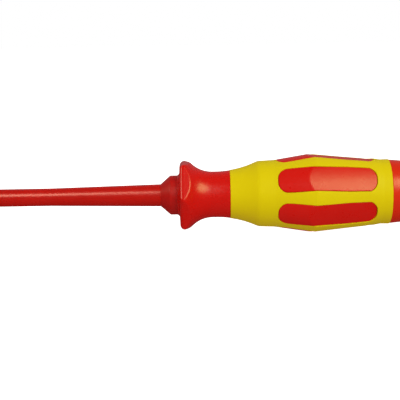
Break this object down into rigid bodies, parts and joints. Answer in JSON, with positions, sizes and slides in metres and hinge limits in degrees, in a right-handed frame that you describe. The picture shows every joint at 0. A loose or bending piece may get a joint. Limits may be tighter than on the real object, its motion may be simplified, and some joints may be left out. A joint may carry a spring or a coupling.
{
  "type": "insulated screwdriver",
  "caption": "Insulated screwdriver: sleeved fixed blade with a cross-and-slot tip, flared six-sided finger guard, two-colour moulded barrel with inset grip pads and a domed cap.",
  "frame": {"origin": "the blade's tip, on the tool's own axis", "axes": "+X along the axis from the tip to the handle's end, +Z square to the upper grip pad, tool lying level"},
  "size_m": [0.22, 0.0362, 0.0352],
  "materials": {
    "steel": "satin, ground tip",
    "sleeve_red": "glossy moulded",
    "core_red": "satin gloss",
    "guard_red": "satin gloss",
    "barrel_yellow": "satin",
    "pad_red": "satin, fine grain"
  },
  "bodies": {
    "root": {"blade": "steel", "blade_insulation": "sleeve_red", "handle_core": "core_red", "front_guard": "guard_red", "grip_body": "barrel_yellow", "grip_pad_1": "pad_red", "grip_pad_2": "pad_red", "grip_pad_3": "pad_red", "grip_pad_4": "pad_red", "grip_pad_5": "pad_red", "grip_pad_6": "pad_red", "end_cap": "guard_red"}
  },
  "joints": []
}
